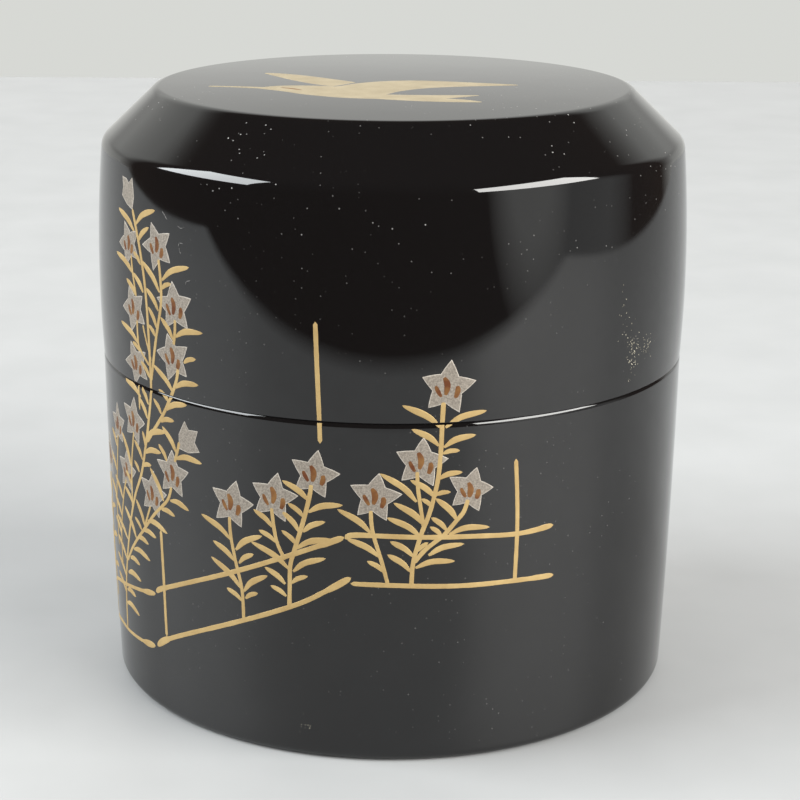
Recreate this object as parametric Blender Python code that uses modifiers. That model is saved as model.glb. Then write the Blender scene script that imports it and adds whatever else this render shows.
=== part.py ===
"""Round lacquered tea caddy with a bevelled lift-off lid, as two turned solids.

Metres, +Z up. The origin is the centre of the underside and +Z is the turning axis.
An outline below is a list of (radius, height, rounding) corners, where a rounding of 0 is a plain point.
"""

import math

import bpy
from mathutils import Vector

# Outside of the body
FOOT_DIAMETER = 0.0666
SEAM_DIAMETER = 0.0685
LEDGE_HEIGHT = 0.0390
BODY_SWELL = 0.00017
FOOT_ROUND = 0.0011
LEDGE_ROUND = 0.0004

# Underside: the caddy stands on a flat ring round a shallow hollow
FOOT_RING_WIDTH = 0.0060
FOOT_HOLLOW_DEPTH = 0.0006

# Outside of the lid
LID_HEIGHT = 0.0307
SHOULDER_DIAMETER = 0.0675
TOP_DIAMETER = 0.0551
BEVEL_HEIGHT = 0.0059
LID_SWELL = 0.00048
TOP_CROWN = 0.0003
TOP_ROUND = 0.0014
SHOULDER_ROUND = 0.0011
LID_EDGE_ROUND = 0.0003

# Walls
BODY_WALL = 0.0030
BODY_FLOOR = 0.0028
CAVITY_ROUND = 0.0060
LIP_WALL = 0.0014
LIP_HEIGHT = 0.0070
LIP_ROUND = 0.0005
LID_WALL = 0.0020
LID_TOP_WALL = 0.0026
LID_INNER_ROUND = 0.0012

# Fit: the lid slides over the body's lip and rests on its ledge
LID_CLEARANCE = 0.0003
SEAM_GAP = 0.0003

# Fineness of the solids
TURNING_STEPS = 80
SWELL_STEPS = 5
CROWN_STEPS = 3
ARC_STEP = math.radians(24)
MOST_OF_SIDE = 0.45
MERGE_DISTANCE = 0.00001
SHARP_ANGLE = math.radians(35)

LACQUER_COLOUR = (0.006, 0.006, 0.007, 1.0)
LACQUER_ROUGHNESS = 0.05


def swollen(start, end, swell):
    """Points between start and end on a shallow curve that stands proud of their chord by swell at its middle."""
    points = []
    for step in range(1, SWELL_STEPS):
        share = step / SWELL_STEPS
        radius = start[0] + (end[0] - start[0]) * share + 4 * swell * share * (1 - share)
        height = start[1] + (end[1] - start[1]) * share
        points.append((radius, height, 0))
    return points


def crowned(rim_radius, rim_height):
    """Points of the slightly domed top, from its centre out to just inside the rim."""
    points = []
    for step in range(CROWN_STEPS):
        share = step / CROWN_STEPS
        points.append((rim_radius * share, rim_height + TOP_CROWN * (1 - share**2), 0))
    return points


def rounded(corners):
    """The outline through the corners, each rounded by an arc that touches both its sides."""
    outline = []
    for index, (radius, height, rounding) in enumerate(corners):
        corner = Vector((radius, height))
        if rounding == 0:
            outline.append(corner)
            continue
        back = Vector(corners[index - 1][:2]) - corner
        onward = Vector(corners[index + 1][:2]) - corner
        half_angle = back.angle(onward) / 2
        longest_run = MOST_OF_SIDE * min(back.length, onward.length)
        run = min(rounding / math.tan(half_angle), longest_run)
        arc_radius = run * math.tan(half_angle)
        inward = (back.normalized() + onward.normalized()).normalized()
        centre = corner + inward * arc_radius / math.sin(half_angle)
        middle = math.atan2(-inward.y, -inward.x)
        half_turn = math.copysign(math.pi / 2 - half_angle, back.cross(onward))
        steps = max(2, math.ceil(2 * abs(half_turn) / ARC_STEP))
        for step in range(steps + 1):
            angle = middle + half_turn * (1 - 2 * step / steps)
            outline.append(centre + arc_radius * Vector((math.cos(angle), math.sin(angle))))
    return outline


def body_outline():
    """From the cavity floor's centre, up the inside, over the lip and the ledge and down the outside to the axis."""
    foot_radius = FOOT_DIAMETER / 2
    seam_radius = SEAM_DIAMETER / 2
    lip_outer = seam_radius - LID_WALL - LID_CLEARANCE
    lip_inner = lip_outer - LIP_WALL
    lip_top = LEDGE_HEIGHT + LIP_HEIGHT
    floor_height = FOOT_HOLLOW_DEPTH + BODY_FLOOR
    ring_inner = foot_radius - FOOT_RING_WIDTH
    ledge_edge = (seam_radius, LEDGE_HEIGHT)
    foot_edge = (foot_radius, 0)
    return [
        (0, floor_height, 0),
        (foot_radius - BODY_WALL, floor_height, CAVITY_ROUND),
        (lip_inner, lip_top, LIP_ROUND),
        (lip_outer, lip_top, LIP_ROUND),
        (lip_outer, LEDGE_HEIGHT, 0),
        (*ledge_edge, LEDGE_ROUND),
        *swollen(ledge_edge, foot_edge, BODY_SWELL),
        (*foot_edge, FOOT_ROUND),
        (ring_inner, 0, 0),
        (ring_inner - FOOT_HOLLOW_DEPTH, FOOT_HOLLOW_DEPTH, 0),
        (0, FOOT_HOLLOW_DEPTH, 0),
    ]


def lid_outline():
    """From the top's centre, down the outside, round the mouth and back up the inside to the axis."""
    seam_radius = SEAM_DIAMETER / 2
    shoulder_radius = SHOULDER_DIAMETER / 2
    top_radius = TOP_DIAMETER / 2
    mouth_height = LEDGE_HEIGHT + SEAM_GAP
    rim_height = mouth_height + LID_HEIGHT
    ceiling_height = rim_height - LID_TOP_WALL
    mouth_edge = (seam_radius, mouth_height)
    shoulder = (shoulder_radius, rim_height - BEVEL_HEIGHT)
    # The inside bevel runs parallel to the outside one, a wall's thickness in from it
    bevel_slope = BEVEL_HEIGHT / (shoulder_radius - top_radius)
    inner_shoulder_radius = shoulder_radius - LID_WALL
    inner_bevel_drop = LID_WALL * (math.hypot(1, bevel_slope) - bevel_slope)
    inner_shoulder_height = shoulder[1] - inner_bevel_drop
    ceiling_radius = inner_shoulder_radius - (ceiling_height - inner_shoulder_height) / bevel_slope
    bore_radius = seam_radius - LID_WALL
    return [
        *crowned(top_radius, rim_height),
        (top_radius, rim_height, TOP_ROUND),
        (*shoulder, SHOULDER_ROUND),
        *swollen(shoulder, mouth_edge, LID_SWELL),
        (*mouth_edge, LID_EDGE_ROUND),
        (bore_radius, mouth_height, LID_EDGE_ROUND),
        (bore_radius, mouth_height + LIP_HEIGHT, 0),
        (inner_shoulder_radius, inner_shoulder_height, LID_INNER_ROUND),
        (ceiling_radius, ceiling_height, LID_INNER_ROUND),
        (0, ceiling_height, 0),
    ]


def turned(name, corners, material, collection):
    """A closed solid turned about Z from an outline that starts and ends on the axis."""
    outline = rounded(corners)
    profile = bpy.data.meshes.new(name + "_profile")
    profile.from_pydata(
        [(point.x, 0, point.y) for point in outline],
        [(index, index + 1) for index in range(len(outline) - 1)],
        [],
    )
    solid = bpy.data.objects.new(name, profile)
    collection.objects.link(solid)
    screw = solid.modifiers.new("Turning", "SCREW")
    screw.steps = TURNING_STEPS
    screw.render_steps = TURNING_STEPS
    screw.use_merge_vertices = True
    screw.merge_threshold = MERGE_DISTANCE
    graph = bpy.context.evaluated_depsgraph_get()
    mesh = bpy.data.meshes.new_from_object(solid.evaluated_get(graph))
    mesh.name = name
    mesh.shade_smooth()
    mesh.set_sharp_from_angle(angle=SHARP_ANGLE)
    mesh.materials.append(material)
    solid.modifiers.clear()
    solid.data = mesh
    bpy.data.meshes.remove(profile)


def black_lacquer():
    material = bpy.data.materials.new("black_lacquer")
    material.use_nodes = True
    material.diffuse_color = LACQUER_COLOUR
    shader = material.node_tree.nodes["Principled BSDF"]
    shader.inputs["Base Color"].default_value = LACQUER_COLOUR
    shader.inputs["Roughness"].default_value = LACQUER_ROUGHNESS
    shader.inputs["Metallic"].default_value = 0.0
    return material


def main():
    for leftover in list(bpy.data.objects):
        bpy.data.objects.remove(leftover, do_unlink=True)
    caddy = bpy.data.collections.new("lacquer_tea_caddy")
    bpy.context.scene.collection.children.link(caddy)
    material = black_lacquer()
    turned("body", body_outline(), material, caddy)
    turned("lid", lid_outline(), material, caddy)


main()
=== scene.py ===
"""Looks of the round lacquered tea caddy: fine turned shells, the painting on them, the stage and the camera.

The frame is in metres with +Z up. Sizes below are in millimetres, and MM turns them into metres.
A place on the wall is (around, height). Around runs rightwards from the middle of the front, measured along
the seam's circumference. A place on the top is (x, y), seen from above. Angles of strokes are in degrees,
anticlockwise from the right.
"""

import math
import random
from typing import NamedTuple

import bmesh
import bpy
from mathutils import Matrix, Vector, noise


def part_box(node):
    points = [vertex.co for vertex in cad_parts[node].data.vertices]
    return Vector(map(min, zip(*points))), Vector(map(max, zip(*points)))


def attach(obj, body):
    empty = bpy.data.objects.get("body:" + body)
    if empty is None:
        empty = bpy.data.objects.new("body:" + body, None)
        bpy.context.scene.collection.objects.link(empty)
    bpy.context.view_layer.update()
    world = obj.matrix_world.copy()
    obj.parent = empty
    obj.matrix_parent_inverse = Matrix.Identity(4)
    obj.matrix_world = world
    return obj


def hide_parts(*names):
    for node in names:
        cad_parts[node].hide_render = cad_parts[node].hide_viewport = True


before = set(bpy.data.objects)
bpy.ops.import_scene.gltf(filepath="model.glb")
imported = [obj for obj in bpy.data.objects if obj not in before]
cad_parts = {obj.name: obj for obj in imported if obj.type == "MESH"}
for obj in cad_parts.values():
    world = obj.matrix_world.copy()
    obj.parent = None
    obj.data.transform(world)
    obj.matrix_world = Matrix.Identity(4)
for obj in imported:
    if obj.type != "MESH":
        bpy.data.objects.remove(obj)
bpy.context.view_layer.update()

MM = 0.001

# Heights that come from the solids
MOUTH_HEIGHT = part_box("lid")[0].z / MM
CROWN_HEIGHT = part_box("lid")[1].z / MM
LIP_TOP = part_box("body")[1].z / MM

# Outside of the body
FOOT_RADIUS = 33.3
SEAM_RADIUS = 34.25
SEAM_GAP = 0.08
LEDGE_HEIGHT = MOUTH_HEIGHT - SEAM_GAP
BODY_SWELL = 0.17
FOOT_ROUND = 1.1
EASED_ROUND = 0.8
EASED_TURN = math.radians(37)
EASED_STEPS = 10
EASED_START = LEDGE_HEIGHT - EASED_ROUND * math.sin(EASED_TURN)
FOOT_RING_WIDTH = 6.0
FOOT_HOLLOW_DEPTH = 0.6

# Outside of the lid
SHOULDER_RADIUS = 33.75
TOP_RADIUS = 27.55
BEVEL_HEIGHT = 5.9
LID_SWELL = 0.48
TOP_CROWN = 0.3
TOP_ROUND = 1.4
SHOULDER_ROUND = 1.9
LID_EDGE_ROUND = 0.05
RIM_HEIGHT = CROWN_HEIGHT - TOP_CROWN
SHOULDER_HEIGHT = RIM_HEIGHT - BEVEL_HEIGHT

# Walls and inside
BODY_WALL = 3.0
BODY_FLOOR = 2.8
CAVITY_ROUND = 6.0
LIP_WALL = 1.4
LIP_ROUND = 0.5
LID_WALL = 2.0
LID_TOP_WALL = 2.6
LID_INNER_ROUND = 1.2
LID_CLEARANCE = 0.3
BORE_HEIGHT = 7.0

# Fineness of the shells
TURNS = 256
SWELL_STEPS = 12
CROWN_STEPS = 10
ARC_STEP = math.radians(5)
MOST_OF_SIDE = 0.45
GUARD = 0.15
ON_AXIS = 0.001
SHARP_ANGLE = math.radians(35)

# How thick the painting lies on the lacquer, and how far its underside and its edges are sunk into it
PETAL_LIFT = 0.014
STAMEN_LIFT = 0.022
GOLD_LIFT = 0.026
EDGE_SUNK = -0.006
UNDERSIDE_SUNK = -0.03
LID_PAINT_START = MOUTH_HEIGHT + 0.08
BODY_PAINT_END = LEDGE_HEIGHT - 0.14

# A stroke's section: places across it from edge to edge, and the shares of its lift there
SECTION = ((-1, None), (-0.9, 0.8), (-0.72, 0.96), (0, 1), (0.72, 0.96), (0.9, 0.8), (1, None))

STEM_WIDTH = 0.42
LEAF_WIDTH = 0.7
RAIL_WIDTH = 0.56
POST_WIDTH = 0.5

# Steps along a curve, how much a hand-drawn width wavers, and the least width that a stroke has
CURVE_STEP = 0.35
FINE_STEP = 0.05
UNSTEADY = 0.1
NARROWEST = 0.01

# A leaf is arched upwards by this share of its length, this far along it, and more on the right of its stem
LEFT_BOW = 0.07
RIGHT_BOW = 0.095
BOW_PLACE = 0.42

# A leaf's share of its width at the stem, how far along it is widest, and the two powers that round its tip
LEAF_START = 0.34
LEAF_WIDEST = 0.45
LEAF_TIP = (2.5, 0.65)

# A leaf's width is this share of the whole plus its length over this one, and at most the whole
SHORT_LEAF_SHARE = 0.55
LEAF_GROWTH = 8

# The two powers that round the ends of a dab
DAB_ENDS = (2.2, 0.75)

# A patch of paint has its edge in steps, and a flower has a paler line just inside its edge
EDGE_STEPS = 6
PETAL_RINGS = (
    (0.35, PETAL_LIFT),
    (0.7, PETAL_LIFT),
    (0.935, PETAL_LIFT),
    (0.985, 0.8 * PETAL_LIFT),
    (1, EDGE_SUNK),
)
PETAL_LINE = 0.95
PETAL_BULGE = 0.07
STAR_RADIUS = 2.9
STAR_CORNERS = 10
NOTCH = 0.54
STAMENS = (
    (((-1.27, 0.4), (-0.98, -0.3), (-0.5, -1.1)), 0.5),
    (((-0.42, 1.22), (0.0, 0.22), (-0.23, -1.02)), 0.72),
    (((0.88, 0.2), (0.95, -0.5), (0.62, -1.4)), 0.66),
)

# How far chance moves a petal's angle, its reach and a stamen
PETAL_TURN_SPREAD = 3
PETAL_REACH_SPREAD = 0.05
STAMEN_SPREAD = 0.1

# A speck's corners, the least share of its size at which one lies, and its rings and sizes
FLECK_CORNERS = 5
FLECK_LEAST = 0.6
FLECK_RINGS = ((0.55, 0.5 * GOLD_LIFT), (1, EDGE_SUNK))
FLECK_SIZES = (0.03, 0.1)

# A rail's end swells over this length, and closes over this much of it
SWELL_LENGTH = 3.4
END_LENGTH = 0.7


# Shells


def swollen(start, end, swell):
    """Points between start and end on a shallow curve that stands proud of their chord by swell."""
    points = []
    for step in range(1, SWELL_STEPS):
        share = step / SWELL_STEPS
        radius = start[0] + (end[0] - start[0]) * share + 4 * swell * share * (1 - share)
        points.append((radius, start[1] + (end[1] - start[1]) * share, 0))
    return points


def rounded(corners):
    """The outline through (radius, height, rounding) corners, with a guard point by each end of an arc."""
    outline = []
    for index, (radius, height, rounding) in enumerate(corners):
        corner = Vector((radius, height))
        if rounding == 0:
            outline.append(corner)
            continue
        back = Vector(corners[index - 1][:2]) - corner
        onward = Vector(corners[index + 1][:2]) - corner
        half_angle = back.angle(onward) / 2
        longest_run = MOST_OF_SIDE * min(back.length, onward.length)
        run = min(rounding / math.tan(half_angle), longest_run)
        arc_radius = run * math.tan(half_angle)
        inward = (back.normalized() + onward.normalized()).normalized()
        centre = corner + inward * arc_radius / math.sin(half_angle)
        middle = math.atan2(-inward.y, -inward.x)
        half_turn = math.copysign(math.pi / 2 - half_angle, back.cross(onward))
        steps = max(3, math.ceil(2 * abs(half_turn) / ARC_STEP))
        outline.append(corner + back.normalized() * (run + GUARD))
        for step in range(steps + 1):
            angle = middle + half_turn * (1 - 2 * step / steps)
            outline.append(centre + arc_radius * Vector((math.cos(angle), math.sin(angle))))
        outline.append(corner + onward.normalized() * (run + GUARD))
    return outline


def body_outline():
    """From the cavity floor's centre, up the inside, over the lip and down the outside to the axis."""
    lip_outer = SEAM_RADIUS - LID_WALL - LID_CLEARANCE
    lip_inner = lip_outer - LIP_WALL
    floor_height = FOOT_HOLLOW_DEPTH + BODY_FLOOR
    ring_inner = FOOT_RADIUS - FOOT_RING_WIDTH
    foot_edge = (FOOT_RADIUS, 0)
    eased_edge = []
    for step in range(EASED_STEPS + 1):
        angle = EASED_TURN * (1 - step / EASED_STEPS)
        inset = EASED_ROUND * (1 - math.cos(angle))
        eased_edge.append((SEAM_RADIUS - inset, EASED_START + EASED_ROUND * math.sin(angle), 0))
    return [
        (0, floor_height, 0),
        (FOOT_RADIUS - BODY_WALL, floor_height, CAVITY_ROUND),
        (lip_inner, LIP_TOP, LIP_ROUND),
        (lip_outer, LIP_TOP, LIP_ROUND),
        (lip_outer, LEDGE_HEIGHT, 0),
        *eased_edge,
        *swollen(eased_edge[-1], foot_edge, BODY_SWELL),
        (*foot_edge, FOOT_ROUND),
        (ring_inner, 0, 0),
        (ring_inner - FOOT_HOLLOW_DEPTH, FOOT_HOLLOW_DEPTH, 0),
        (0, FOOT_HOLLOW_DEPTH, 0),
    ]


def lid_outline():
    """From the top's centre, down the outside, round the mouth and back up the inside to the axis."""
    ceiling_height = RIM_HEIGHT - LID_TOP_WALL
    mouth_edge = (SEAM_RADIUS, MOUTH_HEIGHT)
    shoulder = (SHOULDER_RADIUS, SHOULDER_HEIGHT)
    bevel_slope = BEVEL_HEIGHT / (SHOULDER_RADIUS - TOP_RADIUS)
    inner_shoulder_radius = SHOULDER_RADIUS - LID_WALL
    inner_shoulder_height = SHOULDER_HEIGHT - LID_WALL * (math.hypot(1, bevel_slope) - bevel_slope)
    ceiling_radius = inner_shoulder_radius - (ceiling_height - inner_shoulder_height) / bevel_slope
    bore_radius = SEAM_RADIUS - LID_WALL
    crown = []
    for step in range(CROWN_STEPS):
        share = step / CROWN_STEPS
        crown.append((TOP_RADIUS * share, RIM_HEIGHT + TOP_CROWN * (1 - share**2), 0))
    return [
        *crown,
        (TOP_RADIUS, RIM_HEIGHT, TOP_ROUND),
        (*shoulder, SHOULDER_ROUND),
        *swollen(shoulder, mouth_edge, LID_SWELL),
        (*mouth_edge, LID_EDGE_ROUND),
        (bore_radius, MOUTH_HEIGHT, LID_EDGE_ROUND),
        (bore_radius, MOUTH_HEIGHT + BORE_HEIGHT, 0),
        (inner_shoulder_radius, inner_shoulder_height, LID_INNER_ROUND),
        (ceiling_radius, ceiling_height, LID_INNER_ROUND),
        (0, ceiling_height, 0),
    ]


def turned(name, corners, material):
    """A closed shell turned about Z from an outline that starts and ends on the axis."""
    work = bmesh.new()
    rings = []
    for point in rounded(corners):
        if point.x < ON_AXIS:
            rings.append([work.verts.new((0, 0, point.y * MM))] * TURNS)
            continue
        ring = []
        for turn in range(TURNS):
            angle = 2 * math.pi * turn / TURNS
            ring.append(work.verts.new(Vector((math.cos(angle), math.sin(angle), 0)) * point.x * MM))
            ring[-1].co.z = point.y * MM
        rings.append(ring)
    for ring, following in zip(rings, rings[1:]):
        for turn in range(TURNS):
            onward = (turn + 1) % TURNS
            around = (ring[turn], ring[onward], following[onward], following[turn])
            work.faces.new(dict.fromkeys(around))
    bmesh.ops.recalc_face_normals(work, faces=work.faces)
    return made_piece(name, work, material)


def made_piece(name, work, *materials):
    """An object made from the worked mesh, smooth apart from its sharp corners, that rides on the caddy."""
    mesh = bpy.data.meshes.new(name)
    work.to_mesh(mesh)
    work.free()
    mesh.shade_smooth()
    mesh.set_sharp_from_angle(angle=SHARP_ANGLE)
    for material in materials:
        mesh.materials.append(material)
    piece = bpy.data.objects.new(name, mesh)
    bpy.context.scene.collection.objects.link(piece)
    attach(piece, "root")
    return piece


# Surfaces that are painted


def wall_radius(height):
    """The outside radius at a height, on the body below the seam and on the lid above it."""
    if height > MOUTH_HEIGHT:
        share = (height - MOUTH_HEIGHT) / (SHOULDER_HEIGHT - MOUTH_HEIGHT)
        chord = SEAM_RADIUS + (SHOULDER_RADIUS - SEAM_RADIUS) * share
        return chord + 4 * LID_SWELL * share * (1 - share)
    if height > EASED_START:
        return SEAM_RADIUS - EASED_ROUND + math.sqrt(EASED_ROUND**2 - (height - EASED_START) ** 2)
    share = height / EASED_START
    return FOOT_RADIUS + (SEAM_RADIUS - FOOT_RADIUS) * share + 4 * BODY_SWELL * share * (1 - share)


def on_wall(place):
    around, height, lift = place
    angle = around / SEAM_RADIUS
    radius = wall_radius(height) + lift
    return Vector((radius * math.sin(angle), -radius * math.cos(angle), height)) * MM


def on_top(place):
    x, y, lift = place
    share = math.hypot(x, y) / TOP_RADIUS
    return Vector((x, y, RIM_HEIGHT + TOP_CROWN * (1 - share**2) + lift)) * MM


# Brush strokes, drawn flat as (along the surface, up the surface, lift)


def smooth_curve(points, spacing=CURVE_STEP):
    """Evenly stepped places on a smooth curve through the points."""
    knots = [Vector(point) for point in points]
    knots = [2 * knots[0] - knots[1], *knots, 2 * knots[-1] - knots[-2]]
    curve = []
    for before, start, end, after in zip(knots, knots[1:], knots[2:], knots[3:]):
        steps = max(2, math.ceil((end - start).length / spacing))
        for step in range(steps):
            t = step / steps
            bend = (2 * before - 5 * start + 4 * end - after) * t * t
            twist = (3 * start - before - 3 * end + after) * t**3
            curve.append((2 * start + (end - before) * t + bend + twist) / 2)
    curve.append(knots[-2])
    return curve


def add_sheet(drawing, first_edge, second_edge, lift):
    """A sheet of paint, flat but for its rounded edges, between two edges with the same number of places."""
    rows = []
    for first, second in zip(first_edge, second_edge):
        row = []
        for across, risen in SECTION:
            place = first.lerp(second, (across + 1) / 2)
            row.append(drawing.verts.new((place.x, place.y, lift * risen if risen else EDGE_SUNK)))
        rows.append(row)
    for end in (rows[0], rows[-1]):
        for vertex in end:
            vertex.co.z = EDGE_SUNK
    for row, following in zip(rows, rows[1:]):
        for index in range(len(SECTION) - 1):
            drawing.faces.new((row[index], following[index], following[index + 1], row[index + 1]))


def add_stroke(drawing, points, width_at, lift):
    """A stroke along a smooth curve, where width_at gives its full width at each share of its length."""
    curve = smooth_curve(points)
    first_edge, second_edge = [], []
    for index, place in enumerate(curve):
        share = index / (len(curve) - 1)
        ahead = curve[min(index + 1, len(curve) - 1)] - curve[max(index - 1, 0)]
        side = Vector((-ahead.y, ahead.x)).normalized()
        hand = 1 + UNSTEADY * noise.noise(Vector((place.x, place.y, lift)))
        reach = side * max(NARROWEST, width_at(share) * hand / 2)
        first_edge.append(place + reach)
        second_edge.append(place - reach)
    add_sheet(drawing, first_edge, second_edge, lift)


def round_ended(width, length):
    """The width along a stroke of one width with rounded ends."""
    end = min(0.5, width / 2 / max(length, width))

    def width_at(share):
        into_end = min(1, share / end, (1 - share) / end)
        return width * math.sqrt(max(0, 1 - (1 - into_end) ** 2))

    return width_at


def leaf_shaped(width):
    """The width along a brush-drawn leaf: narrow at the stem, widest just before its middle, soft-pointed."""

    def width_at(share):
        opening = LEAF_START + (1 - LEAF_START) * math.sin(min(1, share / LEAF_WIDEST) * math.pi / 2)
        into_tip = max(0, 2 * share - 1)
        return width * opening * (1 - into_tip ** LEAF_TIP[0]) ** LEAF_TIP[1]

    return width_at


def lens_shaped(width):
    """The width along a seed-shaped dab of the brush."""

    def width_at(share):
        return width * (1 - abs(2 * share - 1) ** DAB_ENDS[0]) ** DAB_ENDS[1]

    return width_at


def widening(start_width, end_width):
    """The width along a stroke that grows steadily."""

    def width_at(share):
        return start_width + (end_width - start_width) * share

    return width_at


def swollen_ended(width, length, left_swell, right_swell):
    """The width along a bar of one width whose ends swell by these amounts before they close."""

    def width_at(share):
        from_left = min(1, share * length / SWELL_LENGTH)
        from_right = min(1, (1 - share) * length / SWELL_LENGTH)
        swell = left_swell * math.sin(math.pi * from_left) + right_swell * math.sin(math.pi * from_right)
        into_end = min(1, share * length / END_LENGTH, (1 - share) * length / END_LENGTH)
        return (width + swell) * math.sqrt(max(0, 1 - (1 - into_end) ** 2))

    return width_at


def length_of(points):
    return sum((Vector(end) - Vector(start)).length for start, end in zip(points, points[1:]))


def add_line(drawing, points, width, lift=GOLD_LIFT):
    add_stroke(drawing, points, round_ended(width, length_of(points)), lift)


def add_leaf(drawing, around, height, length, angle):
    """A leaf that starts at this place, points along angle and is arched upwards."""
    base = Vector((around, height))
    direction = Vector((math.cos(math.radians(angle)), math.sin(math.radians(angle))))
    to_right = direction.x > 0
    bow = RIGHT_BOW if to_right else LEFT_BOW
    upward = Vector((-direction.y, direction.x)) * (1 if to_right else -1)
    middle = base + direction * length * BOW_PLACE + upward * bow * length
    width = LEAF_WIDTH * min(1, SHORT_LEAF_SHARE + length / LEAF_GROWTH)
    add_stroke(drawing, (base, middle, base + direction * length), leaf_shaped(width), GOLD_LIFT)


def add_patch(drawing, centre, corners, rings, bulge=0.0, lined=False):
    """A patch of paint round its centre, as rings at shares of the way out with their lifts."""
    outline = []
    for start, end in zip(corners, corners[1:] + corners[:1]):
        outward = ((start + end) / 2 - centre).normalized()
        for step in range(EDGE_STEPS):
            share = step / EDGE_STEPS
            outline.append(start.lerp(end, share) + outward * bulge * 4 * share * (1 - share))
    levels = []
    for share, lift in rings:
        levels.append([drawing.verts.new((*centre.lerp(place, share), lift)) for place in outline])
    middle = drawing.verts.new((*centre, rings[0][1]))
    for index in range(len(outline)):
        onward = (index + 1) % len(outline)
        drawing.faces.new((middle, levels[0][index], levels[0][onward]))
        for number, (level, following) in enumerate(zip(levels, levels[1:])):
            face = drawing.faces.new((level[index], following[index], following[onward], level[onward]))
            face.material_index = int(lined and rings[number + 1][0] > PETAL_LINE)


def add_bud(petals, centre, corners):
    add_patch(petals, Vector(centre), [Vector(corner) for corner in corners], PETAL_RINGS, lined=True)


def add_star(petals, stamens, centre, radius, turn):
    """A five-petalled bellflower seen from the front, with three stamens."""
    centre = Vector(centre)
    chance = random.Random(f"{centre.x:.1f} {centre.y:.1f}")
    corners = []
    for index in range(STAR_CORNERS):
        spread = chance.uniform(-PETAL_TURN_SPREAD, PETAL_TURN_SPREAD)
        angle = math.radians(turn + 360 / STAR_CORNERS * index + spread)
        reach = radius * (NOTCH if index % 2 else 1)
        reach *= chance.uniform(1 - PETAL_REACH_SPREAD, 1 + PETAL_REACH_SPREAD)
        corners.append(centre + reach * Vector((math.cos(angle), math.sin(angle))))
    add_patch(petals, centre, corners, PETAL_RINGS, PETAL_BULGE, lined=True)
    for points, width in STAMENS:
        shift = Vector([chance.uniform(-STAMEN_SPREAD, STAMEN_SPREAD) for _ in range(2)])
        places = [centre + (Vector(point) + shift) * radius / STAR_RADIUS for point in points]
        add_stroke(stamens, places, lens_shaped(width), STAMEN_LIFT)


def add_flecks(drawing, middle, spread, count):
    """Tiny stray specks of gold scattered round a place."""
    chance = random.Random(count)
    for _ in range(count):
        place = Vector((chance.gauss(middle[0], spread[0]), chance.gauss(middle[1], spread[1])))
        size = chance.uniform(*FLECK_SIZES)
        corners = []
        for index in range(FLECK_CORNERS):
            angle = 2 * math.pi * index / FLECK_CORNERS
            reach = size * chance.uniform(FLECK_LEAST, 1)
            corners.append(place + reach * Vector((math.cos(angle), math.sin(angle))))
        add_patch(drawing, place, corners, FLECK_RINGS)


class Spray(NamedTuple):
    """One painted stem, and its leaves as (around, height, length, angle)."""

    stem: tuple
    leaves: tuple = ()
    width: float = STEM_WIDTH


class Star(NamedTuple):
    centre: tuple
    radius: float = STAR_RADIUS
    turn: float = 9


class Rail(NamedTuple):
    """A bar of the painted fence, which may swell at its ends."""

    places: tuple
    left_swell: float = 0
    right_swell: float = 0
    width: float = RAIL_WIDTH


def add_spray(drawing, spray):
    add_line(drawing, spray.stem, spray.width)
    for leaf in spray.leaves:
        add_leaf(drawing, *leaf)


def add_rail(drawing, rail):
    shape = swollen_ended(rail.width, length_of(rail.places), rail.left_swell, rail.right_swell)
    add_stroke(drawing, rail.places, shape, GOLD_LIFT)


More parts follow.
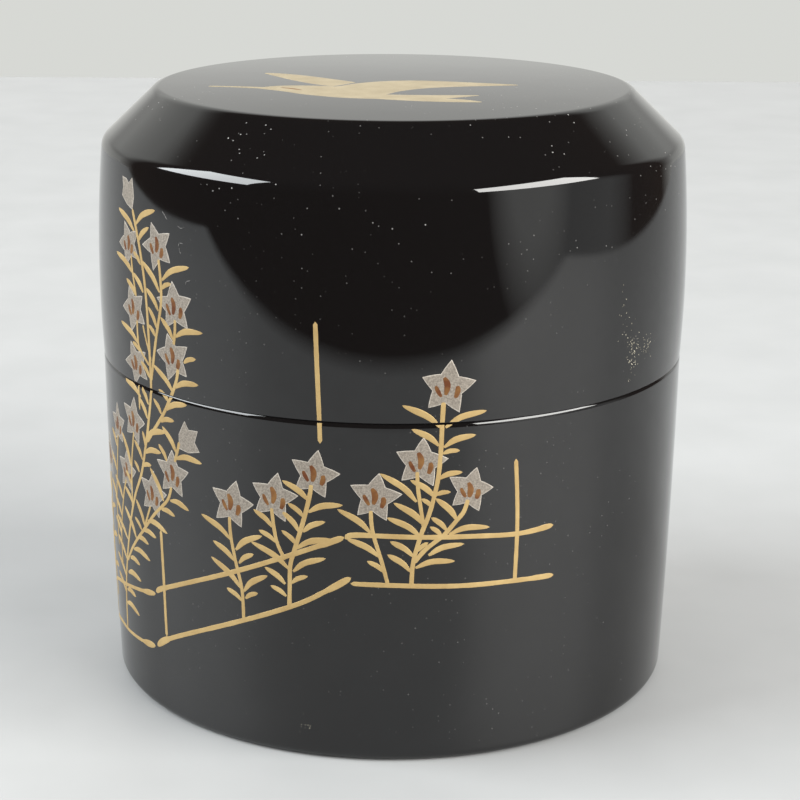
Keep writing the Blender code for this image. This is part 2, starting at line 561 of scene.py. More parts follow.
MIDDLE_SPRAYS = (
    Spray(
        ((-17.0, 15.0), (-17.1, 18.8), (-17.8, 21.9), (-18.4, 25.0), (-18.5, 27.3)),
        (
            (-18.4, 24.5, 4.6, 152),
            (-18.0, 22.1, 3.4, 148),
            (-17.2, 19.0, 5.0, 144),
            (-17.1, 17.5, 2.4, 150),
            (-17.8, 23.4, 4.1, 33),
            (-17.4, 21.9, 2.4, 37),
            (-16.9, 18.7, 3.9, 38),
            (-16.7, 17.9, 1.9, 30),
        ),
    ),
    Spray(
        ((-11.7, 23.2), (-12.6, 25.1), (-13.0, 27.2), (-13.2, 29.2)),
        ((-13.1, 26.8, 2.9, 143), (-12.7, 25.1, 2.4, 151)),
    ),
    Spray(
        (
            (-11.3, 17.7),
            (-11.2, 20.5),
            (-11.1, 22.7),
            (-10.5, 24.8),
            (-9.5, 28.1),
            (-8.8, 30.9),
            (-8.6, 32.3),
        ),
        (
            (-9.0, 30.4, 3.5, 147),
            (-9.5, 28.4, 2.3, 142),
            (-10.0, 26.6, 3.0, 132),
            (-10.4, 25.2, 2.2, 140),
            (-11.2, 22.2, 5.3, 151),
            (-11.7, 20.4, 3.0, 146),
            (-11.6, 19.0, 2.2, 152),
            (-9.0, 29.0, 4.0, 16),
            (-9.6, 26.7, 2.9, 29),
            (-10.4, 24.7, 4.4, 19),
            (-10.8, 22.0, 4.2, 27),
            (-11.0, 20.6, 2.2, 29),
        ),
        0.5,
    ),
    Spray(
        ((-0.3, 21.1), (-1.0, 23.8), (-1.8, 26.5), (-2.1, 28.0), (-2.2, 29.8)),
        ((-2.2, 27.1, 4.4, 145), (-1.3, 24.4, 4.0, 151), (-0.7, 22.6, 2.3, 146)),
        0.44,
    ),
    Spray(
        (
            (2.2, 20.9),
            (2.4, 23.8),
            (3.2, 26.9),
            (4.1, 29.4),
            (4.9, 32.9),
            (5.2, 36.3),
            (5.3, 39.1),
            (5.4, 41.8),
        ),
        (
            (5.2, 38.75, 4.9, 148),
            (5.0, 36.8, 3.5, 147),
            (4.6, 31.1, 3.3, 143),
            (4.3, 30.0, 1.5, 139),
            (3.6, 27.9, 4.3, 142),
            (3.1, 26.7, 4.2, 149),
            (2.4, 24.4, 3.1, 145),
            (2.1, 22.7, 3.2, 142),
            (5.6, 38.75, 4.8, 20),
            (5.5, 36.6, 3.7, 19),
            (5.4, 35.9, 1.9, 8),
            (5.0, 33.1, 2.7, 14),
            (4.7, 31.3, 1.7, 10),
            (2.6, 23.1, 4.4, 8),
        ),
        0.5,
    ),
    Spray(((3.5, 27.6), (3.1, 30.1), (2.8, 32.2), (2.7, 34.2)), ((2.7, 30.6, 5.1, 141),)),
    Spray(
        ((2.4, 23.6), (3.6, 25.1), (4.7, 26.0), (5.8, 26.9), (7.0, 28.3), (7.8, 29.3), (8.3, 30.8)),
        (
            (7.1, 28.3, 3.6, 132),
            (6.0, 27.2, 2.4, 137),
            (5.4, 26.7, 1.7, 140),
            (6.2, 26.8, 4.6, 6),
            (4.0, 24.5, 4.1, 16),
            (2.9, 25.0, 1.5, 42),
        ),
        0.5,
    ),
)
LEFT_SPRAYS = (
    Spray(
        (
            (-40.7, 7.1),
            (-40.1, 12.2),
            (-39.1, 15.8),
            (-37.1, 21.3),
            (-35.2, 25.4),
            (-33.2, 28.7),
            (-32.0, 32.1),
            (-31.1, 35.4),
            (-30.3, 39.7),
            (-30.2, 45.8),
            (-30.6, 50.7),
            (-31.5, 54.3),
            (-32.3, 56.4),
            (-33.5, 59.0),
        ),
        (
            (-32.9, 56.5, 4.6, 155),
            (-31.5, 53.1, 2.1, 143),
            (-31.0, 50.1, 2.9, 140),
            (-30.4, 40.5, 2.5, 137),
            (-31.3, 35.6, 2.8, 130),
            (-32.0, 32.1, 1.9, 108),
            (-32.8, 30.4, 2.7, 135),
            (-33.7, 28.7, 1.7, 140),
            (-35.8, 24.2, 3.0, 149),
            (-38.2, 19.2, 4.6, 157),
            (-38.9, 16.4, 4.4, 152),
            (-39.5, 14.0, 4.4, 154),
            (-40.1, 11.9, 3.8, 156),
            (-32.6, 57.4, 4.3, 29),
            (-32.0, 55.6, 2.8, 42),
            (-31.9, 33.2, 4.6, 22),
            (-32.2, 31.4, 3.5, 14),
            (-32.7, 29.7, 1.9, 17),
            (-38.8, 14.9, 4.1, 3),
            (-39.7, 12.4, 3.1, 3),
            (-40.2, 10.6, 4.4, -2),
        ),
        0.44,
    ),
    Spray(
        ((-32.5, 49.3), (-33.3, 52.1), (-33.6, 54.0)),
        ((-33.3, 51.9, 4.5, 160), (-32.5, 49.4, 2.8, 146)),
        0.34,
    ),
    Spray(
        ((-30.2, 40.2), (-29.6, 42.3), (-28.7, 45.7), (-27.7, 49.4), (-27.7, 51.9), (-28.1, 54.5)),
        (
            (-27.9, 50.7, 4.5, 139),
            (-28.2, 48.6, 3.1, 136),
            (-28.6, 46.6, 2.6, 125),
            (-28.9, 45.6, 1.7, 138),
            (-27.5, 52.1, 4.8, 26),
            (-27.6, 51.1, 1.9, 28),
        ),
    ),
    Spray(
        ((-33.0, 36.2), (-33.0, 37.6), (-33.1, 39.2)),
        ((-32.6, 37.8, 4.2, 163), (-31.0, 37.3, 2.3, 129)),
        0.34,
    ),
    Spray(
        ((-30.3, 41.9), (-32.2, 43.6), (-32.5, 44.9), (-32.5, 46.9)),
        ((-32.4, 44.0, 4.6, 158), (-32.2, 43.2, 1.8, 155)),
        0.34,
    ),
    Spray(((-29.9, 42.6), (-30.9, 45.3), (-31.3, 46.5)), (), 0.3),
    Spray(((-25.8, 45.1), (-25.5, 46.7), (-25.4, 48.3)), ((-25.8, 45.8, 3.0, 133), (-25.5, 46.2, 4.3, 15))),
    Spray(
        (
            (-31.6, 32.8),
            (-29.9, 34.8),
            (-28.3, 36.7),
            (-27.3, 38.2),
            (-26.3, 39.9),
            (-25.6, 41.3),
            (-25.2, 42.8),
        ),
        (
            (-26.2, 39.7, 4.3, 143),
            (-27.1, 38.5, 2.1, 148),
            (-28.5, 36.8, 2.1, 134),
            (-25.9, 40.4, 3.8, 15),
            (-24.3, 43.5, 2.0, 22),
            (-27.6, 37.5, 3.7, 20),
            (-28.7, 35.9, 2.5, 14),
        ),
        0.46,
    ),
    Spray(
        ((-26.5, 31.6), (-25.8, 33.4), (-25.5, 34.4)),
        ((-26.1, 32.9, 3.5, 133), (-26.2, 32.2, 4.1, 4), (-27.7, 31.4, 2.4, 131)),
    ),
    Spray(
        ((-38.7, 16.4), (-36.4, 19.0), (-33.1, 22.1), (-30.7, 24.5), (-28.0, 26.9), (-27.1, 28.8)),
        (
            (-28.7, 26.6, 4.2, 127),
            (-33.0, 22.4, 3.4, 126),
            (-33.8, 21.7, 2.1, 148),
            (-35.3, 20.1, 4.6, 138),
            (-27.5, 27.0, 3.2, -8),
            (-29.2, 25.5, 2.5, -4),
            (-32.3, 23.3, 4.1, -6),
            (-33.4, 21.8, 2.9, -2),
            (-34.8, 20.5, 2.5, -2),
            (-36.4, 18.6, 4.3, -2),
            (-37.7, 17.1, 2.9, 0),
        ),
    ),
    Spray(((-33.0, 22.4), (-31.4, 25.4)), (), 0.34),
    Spray(
        ((-36.1, 23.6), (-35.7, 29.0), (-34.7, 33.4)),
        ((-35.9, 28.8, 4.2, 126), (-35.9, 26.4, 2.4, 140)),
        0.34,
    ),
    Spray(
        ((-41.0, 14.5), (-40.6, 19.4), (-38.8, 24.6), (-37.6, 26.8)),
        ((-39.2, 23.8, 3.8, 146), (-39.9, 21.4, 3.6, 150), (-40.5, 18.9, 3.4, 152)),
        0.34,
    ),
    Spray(
        ((-42.4, 17.0), (-42.2, 22.6), (-41.1, 27.0), (-40.0, 31.6)),
        ((-40.7, 29.8, 2.8, 142), (-41.3, 26.6, 3.2, 146), (-42.2, 23.2, 3.0, 150)),
        0.34,
    ),
    Spray(
        ((-45.8, 9.3), (-46.6, 16.0), (-46.0, 21.5), (-45.4, 25.4)),
        (
            (-46.1, 22.6, 3.2, 148),
            (-46.5, 19.2, 3.4, 150),
            (-46.5, 15.6, 3.2, 152),
            (-46.2, 12.8, 3.0, 154),
            (-46.0, 20.6, 2.6, 20),
            (-46.3, 17.0, 3.0, 16),
            (-46.1, 13.4, 2.6, 12),
        ),
        0.36,
    ),
)
STARS = (
    Star((-18.2, 28.7), 2.9, 6),
    Star((-12.9, 30.3), 2.95, 8),
    Star((-8.3, 33.3), 2.85, 7),
    Star((-1.7, 31.1), 2.9, 9),
    Star((3.1, 35.0), 2.95, 10),
    Star((8.5, 31.7), 2.7, 4),
    Star((5.8, 43.2), 3.05, 10),
    Star((-34.2, 55.0), 2.6, 42),
    Star((-28.4, 55.7), 2.75, 41),
    Star((-33.2, 47.9), 2.8, 40),
    Star((-25.5, 49.5), 2.9, 26),
    Star((-26.0, 43.8), 2.85, 33),
    Star((-33.2, 41.6), 2.75, 40),
    Star((-34.7, 34.6), 2.85, 8),
    Star((-39.8, 32.8), 2.5, 20),
    Star((-26.9, 30.2), 2.9, 15),
    Star((-30.9, 26.9), 2.8, 9),
    Star((-37.2, 27.8), 2.75, 13),
    Star((-45.2, 27.6), 2.6, 14),
)

# Buds seen from the side, as a middle and the corners round it
BUDS = (
    (
        (-34.8, 60.7),
        (
            (-33.5, 58.8),
            (-33.2, 60.2),
            (-33.5, 61.4),
            (-33.8, 62.3),
            (-34.6, 61.6),
            (-35.2, 62.0),
            (-36.3, 62.1),
            (-36.0, 61.0),
            (-36.2, 60.0),
            (-34.8, 59.2),
        ),
    ),
    (
        (-24.3, 34.7),
        (
            (-25.6, 33.5),
            (-25.6, 35.2),
            (-24.6, 36.9),
            (-24.0, 36.0),
            (-22.6, 36.1),
            (-23.1, 34.7),
            (-22.4, 33.7),
            (-24.1, 33.3),
        ),
    ),
)

# A fence of two rails goes round the foot of the flowers
RAILS = (
    Rail(((-31.2, 15.0), (-29.8, 15.8), (-24.5, 18.1), (-18.8, 20.5), (-10.1, 24.3), (-5.0, 26.5)), 0.1, 0.2),
    Rail(((-31.6, 8.2), (-29.3, 9.7), (-23.6, 12.4), (-11.3, 17.8), (-7.3, 20.0), (-4.3, 21.9)), 0.3, 0.25),
    Rail(((-5.0, 26.3), (-3.6, 26.8), (3.4, 26.6), (8.8, 26.4), (14.2, 26.1), (18.6, 26.4)), 0.1, 0.12),
    Rail(((-4.4, 21.2), (0.7, 21.1), (7.6, 20.8), (13.3, 20.7), (18.9, 20.5)), 0, 0.08),
    Rail(((-51.0, 9.4), (-45.2, 11.8), (-39.4, 13.1), (-34.8, 14.0), (-31.3, 14.7)), 0, 0.3, 0.44),
    Rail(((-51.0, 5.4), (-44.2, 6.8), (-39.8, 7.1), (-35.3, 7.5), (-32.0, 8.0)), 0, 0.45, 0.44),
)
POSTS = (
    ((-29.5, 23.0), (-29.4, 17.3), (-29.4, 10.0)),
    ((13.6, 34.7), (13.9, 30.0), (14.0, 26.0), (13.9, 20.7)),
    ((-8.0, 50.1), (-7.8, 44.0), (-7.6, 36.8)),
    ((-48.6, 17.6), (-48.7, 5.9)),
)

# Stray gold where the caddy has been handled, as a place, how far it spreads and how many specks
FLECKS = (
    ((29.8, 44.1), (0.6, 1.5), 84),
    ((32.4, 44.0), (0.8, 0.8), 40),
    ((27.6, 48.3), (0.4, 2.0), 14),
    ((-9.7, 3.4), (0.5, 1.0), 9),
)

# Fine scratches in the lacquer
SCRATCHES = (
    ((-27.6, 59.6), (-27.2, 59.3), (-26.7, 58.8)),
    ((-25.0, 58.4), (-24.5, 58.2), (-24.0, 58.4)),
    ((-24.8, 56.2), (-24.7, 56.6), (-24.1, 56.6)),
    ((-24.7, 56.1), (-24.6, 55.8), (-24.4, 55.4)),
    ((-23.7, 52.2), (-23.6, 52.6), (-23.0, 52.8)),
)
SCRATCH_WIDTH = 0.07


def painted_wall():
    """The wall's painting, drawn flat: gold, petals, stamens, stray flecks, and scratches beside it."""
    gold, petals, stamens, flecks, scratches = (bmesh.new() for _ in range(5))
    for star in STARS:
        add_star(petals, stamens, *star)
    for bud in BUDS:
        add_bud(petals, *bud)
    for spray in MIDDLE_SPRAYS + LEFT_SPRAYS:
        add_spray(gold, spray)
    for rail in RAILS:
        add_rail(gold, rail)
    for points in POSTS:
        add_line(gold, points, POST_WIDTH)
    for spots in FLECKS:
        add_flecks(flecks, *spots)
    for points in SCRATCHES:
        add_line(scratches, points, SCRATCH_WIDTH, PETAL_LIFT)
    return gold, petals, stamens, flecks, scratches


def half_of(drawing, height, keep_above):
    """A copy of a flat drawing, cut off level at a height."""
    half = drawing.copy()
    bmesh.ops.bisect_plane(
        half,
        geom=[*half.verts, *half.edges, *half.faces],
        plane_co=(0, height, 0),
        plane_no=(0, 1, 0),
        clear_inner=keep_above,
        clear_outer=not keep_above,
    )
    return half


def laid_on(surface, drawing):
    """Closes each flat stroke with an underside sunk in the lacquer, then lays the drawing on a surface."""
    rim = {vertex for edge in drawing.edges if edge.is_boundary for vertex in edge.verts}
    under = {}
    for vertex in list(drawing.verts):
        under[vertex] = vertex if vertex in rim else drawing.verts.new((*vertex.co.xy, UNDERSIDE_SUNK))
    for face in list(drawing.faces):
        if not rim.issuperset(face.verts):
            drawing.faces.new([under[vertex] for vertex in reversed(face.verts)])
    for vertex in drawing.verts:
        vertex.co = surface(vertex.co)
    return drawing


# The bird on the top, as sheets of gold, each between two edges:
# its body, lower tail feather, right wing and left wing
BIRD = (
    (
        ((-15.6, -5.4), (-13.0, -3.8), (-9.3, -3.7), (-6.6, -4.5), (-3.8, -7.1), (-0.6, -10.3), (9.7, -10.4)),
        (
            (-15.6, -5.7),
            (-12.3, -8.3),
            (-10.0, -10.5),
            (-6.4, -12.6),
            (-2.6, -13.5),
            (4.0, -13.6),
            (9.7, -10.5),
        ),
    ),
    (
        ((-2.4, -11.6), (2.9, -12.4), (7.3, -13.3), (9.8, -15.0)),
        ((-2.4, -13.4), (1.8, -14.7), (6.0, -15.3), (9.8, -15.2)),
    ),
    (
        ((-8.6, -5.0), (-6.4, -4.2), (-4.3, -1.9), (-1.6, -0.2), (2.1, 0.7), (6.5, 0.1), (14.5, -1.9)),
        ((-8.2, -8.9), (-4.6, -10.8), (-1.2, -10.6), (0.7, -8.1), (3.0, -6.0), (6.4, -4.4), (14.5, -2.1)),
    ),
    (
        ((-15.5, 7.1), (-13.5, 6.5), (-11.1, 5.1), (-7.7, 2.2), (-4.1, -1.3)),
        ((-15.5, 6.8), (-13.9, 4.1), (-12.3, 1.4), (-9.6, -2.2), (-6.8, -4.6)),
    ),
)
BEAK = ((-21.2, -3.8), (-18.0, -4.5), (-15.0, -5.4))
BEAK_WIDTHS = (0.5, 1.1)
EYE = ((-13.0, -5.3), (-11.7, -6.1), (-10.2, -7.4))
EYE_WIDTH = 0.5

# Shares of the gold's lift: the bird's first sheet, what each further sheet adds, and the beak
FIRST_SHEET = 0.6
NEXT_SHEET = 0.1
BEAK_SHARE = 0.5


def painted_bird():
    """A bird in flight, drawn flat: its gold and the darker stroke on its head."""
    gold, dark = bmesh.new(), bmesh.new()
    for layer, edges in enumerate(BIRD):
        longest = max(len(smooth_curve(edge)) for edge in edges)
        first, second = (evenly(edge, longest) for edge in edges)
        add_sheet(gold, first, second, GOLD_LIFT * (FIRST_SHEET + NEXT_SHEET * layer))
    add_stroke(gold, BEAK, widening(*BEAK_WIDTHS), BEAK_SHARE * GOLD_LIFT)
    add_stroke(dark, EYE, lens_shaped(EYE_WIDTH), GOLD_LIFT)
    return gold, dark


def evenly(points, count):
    """This many places, evenly spread on the smooth curve through the points, just short of its ends."""
    curve = smooth_curve(points, FINE_STEP)
    travelled = [0.0]
    for start, end in zip(curve, curve[1:]):
        travelled.append(travelled[-1] + (end - start).length)
    places = []
    index = 0
    for step in range(count):
        target = travelled[-1] * (step + 0.5) / count
        while travelled[index + 1] < target:
            index += 1
        share = (target - travelled[index]) / (travelled[index + 1] - travelled[index])
        places.append(curve[index].lerp(curve[index + 1], share))
    return places


# Materials

LACQUER_BLACK = (0.0038, 0.0037, 0.004)
DUST_GREY = (0.4, 0.39, 0.37)

# Dust shows faintly below the lower of these heights in metres, and fully above the higher one
DUST_LINE = (0.055, 0.064)


def new_material(name):
    material = bpy.data.materials.new(name)
    material.use_nodes = True
    return material, material.node_tree, material.node_tree.nodes["Principled BSDF"]


def add_node(tree, kind, values=(), **settings):
    """A node with these settings, and these values on its inputs by name or index."""
    node = tree.nodes.new(kind)
    for name, value in settings.items():
        setattr(node, name, value)
    for name, value in dict(values).items():
        node.inputs[name].default_value = value
    return node


def add_noise(tree, scale, detail=3.0):
    """Noise fixed to the piece, with scale features a metre."""
    place = add_node(tree, "ShaderNodeTexCoord")
    pattern = add_node(tree, "ShaderNodeTexNoise", {"Scale": scale, "Detail": detail})
    tree.links.new(place.outputs["Object"], pattern.inputs["Vector"])
    return pattern.outputs["Fac"]


def remapped(tree, value, source, target):
    """The value remapped from one range to another, held inside it."""
    spread = add_node(
        tree,
        "ShaderNodeMapRange",
        {"From Min": source[0], "From Max": source[1], "To Min": target[0], "To Max": target[1]},
    )
    tree.links.new(value, spread.inputs["Value"])
    return spread.outputs["Result"]


def mixed_colours(tree, share, first, second):
    mix = add_node(tree, "ShaderNodeMix", data_type="RGBA")
    tree.links.new(share, mix.inputs["Factor"])
    for socket, colour in ((mix.inputs[6], first), (mix.inputs[7], second)):
        if isinstance(colour, tuple):
            socket.default_value = (*colour, 1)
        else:
            tree.links.new(colour, socket)
    return mix.outputs[2]


def multiplied(tree, first, second):
    product = add_node(tree, "ShaderNodeMath", operation="MULTIPLY")
    tree.links.new(first, product.inputs[0])
    tree.links.new(second, product.inputs[1])
    return product.outputs[0]


def add_bump(tree, shader, height, distance):
    bump = add_node(tree, "ShaderNodeBump", {"Distance": distance, "Strength": 1.0})
    tree.links.new(height, bump.inputs["Height"])
    tree.links.new(bump.outputs["Normal"], shader.inputs["Normal"])


def black_lacquer():
    """Polished black lacquer, a little hazed by handling, with patches of dust specks near the top."""
    material, tree, shader = new_material("black_lacquer")
    place = add_node(tree, "ShaderNodeTexCoord")
    cells = add_node(tree, "ShaderNodeTexVoronoi", {"Scale": 1500.0})
    tree.links.new(place.outputs["Object"], cells.inputs["Vector"])
    parts = add_node(tree, "ShaderNodeSeparateColor")
    tree.links.new(cells.outputs["Color"], parts.inputs["Color"])
    sides = add_node(tree, "ShaderNodeSeparateXYZ")
    tree.links.new(place.outputs["Object"], sides.inputs["Vector"])
    dots = remapped(tree, cells.outputs["Distance"], (0.07, 0.15), (1, 0))
    showing = remapped(tree, parts.outputs["Red"], (0.6, 1), (0, 1))
    patches = remapped(tree, add_noise(tree, 75.0, 2.0), (0.42, 0.56), (0, 1))
    settled = remapped(tree, sides.outputs["Z"], DUST_LINE, (0.2, 1))
    specks = multiplied(tree, multiplied(tree, dots, showing), multiplied(tree, patches, settled))
    colour = mixed_colours(tree, specks, LACQUER_BLACK, DUST_GREY)
    tree.links.new(colour, shader.inputs["Base Color"])
    haze = remapped(tree, add_noise(tree, 55.0), (0.35, 0.7), (0.03, 0.06))
    rough = add_node(tree, "ShaderNodeMath", operation="MAXIMUM")
    tree.links.new(haze, rough.inputs[0])
    tree.links.new(remapped(tree, specks, (0, 0.5), (0, 0.6)), rough.inputs[1])
    tree.links.new(rough.outputs[0], shader.inputs["Roughness"])
    shader.inputs["IOR"].default_value = 1.55
    add_bump(tree, shader, add_noise(tree, 110.0, 1.0), 0.000012)
    return material


def painted_metal(name, dark, light):
    """Metal powder laid on lacquer: satin, finely grained, a little uneven in tone."""
    material, tree, shader = new_material(name)
    patches = remapped(tree, add_noise(tree, 450.0), (0.35, 0.7), (0, 1))
    tree.links.new(mixed_colours(tree, patches, dark, light), shader.inputs["Base Color"])
    shader.inputs["Metallic"].default_value = 0.2
    grain = add_noise(tree, 7000.0, 2.0)
    tree.links.new(remapped(tree, grain, (0.3, 0.7), (0.48, 0.62)), shader.inputs["Roughness"])
    add_bump(tree, shader, grain, 0.000006)
    return material


def painted_silver(name, dark, light):
    """Silver-grey paint with a powdery grain."""
    material, tree, shader = new_material(name)
    grain = remapped(tree, add_noise(tree, 5500.0, 2.0), (0.35, 0.65), (0, 1))
    tree.links.new(mixed_colours(tree, grain, dark, light), shader.inputs["Base Color"])
    shader.inputs["Metallic"].default_value = 0.15
    shader.inputs["Roughness"].default_value = 0.6
    add_bump(tree, shader, grain, 0.000008)
    return material


def painted_brown():
    """Thin red-brown paint, lighter where it lies thin."""
    material, tree, shader = new_material("brown_paint")
    patches = remapped(tree, add_noise(tree, 700.0), (0.35, 0.65), (0, 1))
    colour = mixed_colours(tree, patches, (0.105, 0.031, 0.0085), (0.19, 0.09, 0.027))
    tree.links.new(colour, shader.inputs["Base Color"])
    shader.inputs["Roughness"].default_value = 0.55
    shader.inputs["Specular IOR Level"].default_value = 0.25
    add_bump(tree, shader, patches, 0.000006)
    return material


def scratched_lacquer():
    """The pale, dull floor of a fine scratch."""
    material, tree, shader = new_material("scratch")
    patches = remapped(tree, add_noise(tree, 3000.0), (0.35, 0.65), (0, 1))
    colour = mixed_colours(tree, patches, (0.05, 0.05, 0.048), (0.25, 0.24, 0.23))
    tree.links.new(colour, shader.inputs["Base Color"])
    shader.inputs["Roughness"].default_value = 0.5
    return material


# The caddy

lacquer = black_lacquer()
gold_paint = painted_metal("gold_paint", (0.39, 0.263, 0.103), (0.47, 0.333, 0.14))
bird_paint = painted_metal("bird_paint", (0.33, 0.27, 0.17), (0.39, 0.325, 0.21))
fleck_paint = painted_metal("fleck_paint", (0.22, 0.2, 0.145), (0.42, 0.39, 0.3))
petal_paint = painted_silver("petal_paint", (0.175, 0.15, 0.123), (0.295, 0.26, 0.217))
petal_line = painted_silver("petal_line_paint", (0.34, 0.3, 0.255), (0.47, 0.43, 0.37))
brown_paint = painted_brown()
scratch = scratched_lacquer()

body_shell = turned("body_shell", body_outline(), lacquer)
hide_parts("body")
lid_shell = turned("lid_shell", lid_outline(), lacquer)
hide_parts("lid")

gold, petals, stamens, flecks, scratches = painted_wall()
for drawing, paint, materials in (
    (gold, "gold", (gold_paint,)),
    (petals, "petals", (petal_paint, petal_line)),
    (stamens, "stamens", (brown_paint,)),
    (flecks, "flecks", (fleck_paint,)),
):
    lid_half = half_of(drawing, LID_PAINT_START, True)
    made_piece("lid_" + paint, laid_on(on_wall, lid_half), *materials)
    body_half = half_of(drawing, BODY_PAINT_END, False)
    made_piece("body_" + paint, laid_on(on_wall, body_half), *materials)
    drawing.free()
made_piece("lid_scratches", laid_on(on_wall, scratches), scratch)

bird_gold, bird_mark = painted_bird()
made_piece("top_bird", laid_on(on_top, bird_gold), bird_paint)
made_piece("top_bird_mark", laid_on(on_top, bird_mark), brown_paint)


# The stage, in metres: a pale table, a soft window at each side and a plain room

TABLE_LEFT = -0.55
TABLE_RIGHT = 0.385
TABLE_FRONT = -0.178
TABLE_BACK = 0.51
SOFT_EDGE = 0.015
FLOOR_REACH = 2.0
FLOOR_DROP = 0.0002
WINDOW_DISTANCE = 1.0
CAMERA_HEIGHT = 0.1044
CAMERA_DISTANCE = 0.2454
CAMERA_LENS = 95.16
CAMERA_SHIFT = 0.0021
CAMERA_YAW, CAMERA_PITCH, CAMERA_ROLL = (math.radians(angle) for angle in (0.228, 16.53, 0.402))

COOL = (0.94, 0.98, 1.0)
WARM = (1.0, 0.99, 0.96)

# Directions in the room, seen from the caddy
UP = (0, 0, 1)
BEHIND = (-0.06, 1, 0)
BRIGHT_PATCH = (0.8, -0.6, 0.05)
DIMLY_LIT = (0.97, -0.25, 0)

# The room as the camera sees it, as it lights matt surfaces, and as polished ones reflect it
ROOM_SEEN = (0.68, 0.69, 0.66)
ROOM_LIGHT = (0.75, 0.75, 0.75)
PALE_WALL = (0.84, 0.845, 0.81)
WALL_BAND = (0.66, 0.66, 0.635)
DARK_ROOM = (0.078, 0.052, 0.038)
DIM_ROOM = (0.5, 0.5, 0.49)
ROOM_GLOW = (1.05, 1.05, 1.02)


def floor_material(name, ends):
    """Pale, faintly mottled satin floor. Where it ends, it fades out softly along the edges of a table."""
    material, tree, shader = new_material(name)
    mottle = remapped(tree, add_noise(tree, 60.0), (0.3, 0.7), (0, 1))
    colour = mixed_colours(tree, mottle, (0.37, 0.375, 0.375), (0.395, 0.4, 0.4))
    tree.links.new(colour, shader.inputs["Base Color"])
    shader.inputs["Roughness"].default_value = 0.5
    if ends:
        place = add_node(tree, "ShaderNodeTexCoord")
        sides = add_node(tree, "ShaderNodeSeparateXYZ")
        tree.links.new(place.outputs["Object"], sides.inputs["Vector"])
        edges = []
        for axis, edge, inward in (("X", TABLE_LEFT, 1), ("X", TABLE_RIGHT, -1), ("Y", TABLE_FRONT, 1)):
            fade = (edge - inward * SOFT_EDGE, edge + inward * SOFT_EDGE)
            target = (0, 1)
            if inward < 0:
                fade = fade[::-1]
                target = (1, 0)
            edges.append(remapped(tree, sides.outputs[axis], fade, target))
        shown = multiplied(tree, multiplied(tree, edges[0], edges[1]), edges[2])
        tree.links.new(shown, shader.inputs["Alpha"])
    return material


def floor_plane(name, height, material):
    mesh = bpy.data.meshes.new(name)
    corners = [
        (-FLOOR_REACH, -FLOOR_REACH, height),
        (FLOOR_REACH, -FLOOR_REACH, height),
        (FLOOR_REACH, TABLE_BACK, height),
        (-FLOOR_REACH, TABLE_BACK, height),
    ]
    mesh.from_pydata(corners, [], [(0, 1, 2, 3)])
    mesh.materials.append(material)
    plane = bpy.data.objects.new(name, mesh)
    bpy.context.scene.collection.objects.link(plane)
    return plane


def window_light(name, side, front, back, sill, head, radiance, colour):
    """An upright window at one side, from front to back along Y and from sill to head in height."""
    middle = (side * WINDOW_DISTANCE, (front + back) / 2, (sill + head) / 2)
    panel_light(name, middle, (side, 0, 0), (back - front, head - sill), radiance, colour)


def panel_light(name, middle, away, size, radiance, colour):
    """A panel that shines opposite to the away direction."""
    light = bpy.data.lights.new(name, "AREA")
    light.shape = "RECTANGLE"
    light.size, light.size_y = size
    light.energy = radiance * math.pi * light.size * light.size_y
    light.color = colour
    holder = bpy.data.objects.new(name, light)
    holder.location = middle
    holder.rotation_euler = Vector(away).to_track_quat("Z", "Y").to_euler()
    holder.visible_camera = False
    bpy.context.scene.collection.objects.link(holder)
    return holder


def along(tree, direction, way, fade, target):
    """How far a direction points along this way, remapped from the fade to the target."""
    product = add_node(tree, "ShaderNodeVectorMath", {1: way}, operation="DOT_PRODUCT")
    tree.links.new(direction, product.inputs[0])
    return remapped(tree, product.outputs["Value"], fade, target)


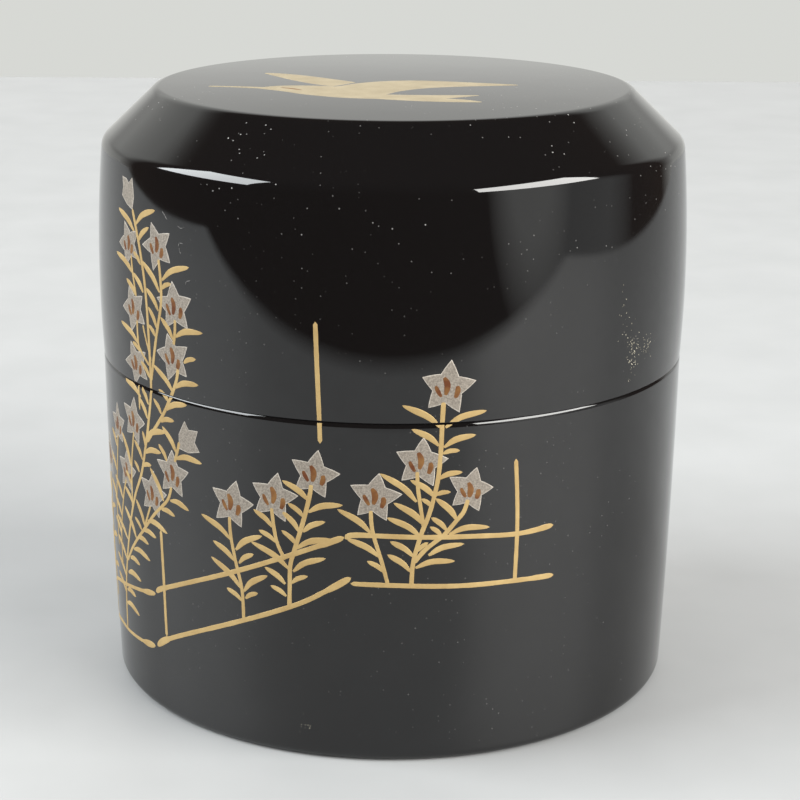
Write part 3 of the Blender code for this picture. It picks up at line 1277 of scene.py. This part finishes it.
def plain_room():
    """A room that is pale where the camera sees it.

    Reflections see a pale wall with a dimmer band behind the caddy. In front and overhead they see a dark
    room, dimly lit at the right and with one bright patch there.
    """
    world = bpy.data.worlds.new("room")
    bpy.context.scene.world = world
    world.use_nodes = True
    tree = world.node_tree
    background = tree.nodes["Background"]
    direction = add_node(tree, "ShaderNodeTexCoord").outputs["Generated"]
    level = add_node(tree, "ShaderNodeVectorMath", {1: (1, 1, 0)}, operation="MULTIPLY")
    tree.links.new(direction, level.inputs[0])
    compass = add_node(tree, "ShaderNodeVectorMath", operation="NORMALIZE")
    tree.links.new(level.outputs["Vector"], compass.inputs[0])
    behind = along(tree, compass.outputs["Vector"], BEHIND, (0.53, 0.7), (0, 1))
    low = along(tree, direction, UP, (0.6, 0.72), (1, 0))
    band = multiplied(
        tree,
        along(tree, direction, UP, (0.1, 0.19), (0, 1)),
        along(tree, direction, UP, (0.21, 0.29), (1, 0)),
    )
    glow = along(tree, direction, BRIGHT_PATCH, (0.95, 0.99), (0, 1))
    dim_glow = along(tree, direction, DIMLY_LIT, (0.88, 0.97), (0, 1))
    room = mixed_colours(tree, dim_glow, DARK_ROOM, DIM_ROOM)
    room = mixed_colours(tree, glow, room, ROOM_GLOW)
    wall = mixed_colours(tree, band, PALE_WALL, WALL_BAND)
    seen = mixed_colours(tree, multiplied(tree, behind, low), room, wall)
    rays = add_node(tree, "ShaderNodeLightPath")
    scattered = mixed_colours(tree, rays.outputs["Is Diffuse Ray"], seen, ROOM_LIGHT)
    shown = mixed_colours(tree, rays.outputs["Is Camera Ray"], scattered, ROOM_SEEN)
    tree.links.new(shown, background.inputs["Color"])


# The near floor ends like a table, and of the two only it shows in reflections
floor_plane("near_floor", 0.0, floor_material("near_floor", True))
wide_floor = floor_plane("wide_floor", -FLOOR_DROP, floor_material("wide_floor", False))
wide_floor.visible_glossy = False

window_light("left_window", -1, front=-0.65, back=0.27, sill=0.42, head=1.22, radiance=11.5, colour=COOL)
window_light("right_window", 1, front=-1.6, back=-0.07, sill=0.38, head=1.04, radiance=14, colour=WARM)
ceiling = panel_light("ceiling_light", (0, 0.8, 0.6), away=UP, size=(1.6, 0.3), radiance=2.4, colour=WARM)
ceiling.visible_glossy = False
plain_room()

lens = bpy.data.cameras.new("camera")
lens.lens = CAMERA_LENS
lens.shift_y = CAMERA_SHIFT
camera = bpy.data.objects.new("camera", lens)
bpy.context.scene.collection.objects.link(camera)
camera.matrix_world = (
    Matrix.Translation((0, -CAMERA_DISTANCE, CAMERA_HEIGHT))
    @ Matrix.Rotation(-CAMERA_YAW, 4, "Z")
    @ Matrix.Rotation(math.pi / 2 - CAMERA_PITCH, 4, "X")
    @ Matrix.Rotation(CAMERA_ROLL, 4, "Z")
)
bpy.context.scene.camera = camera
bpy.context.scene.view_settings.view_transform = "Standard"
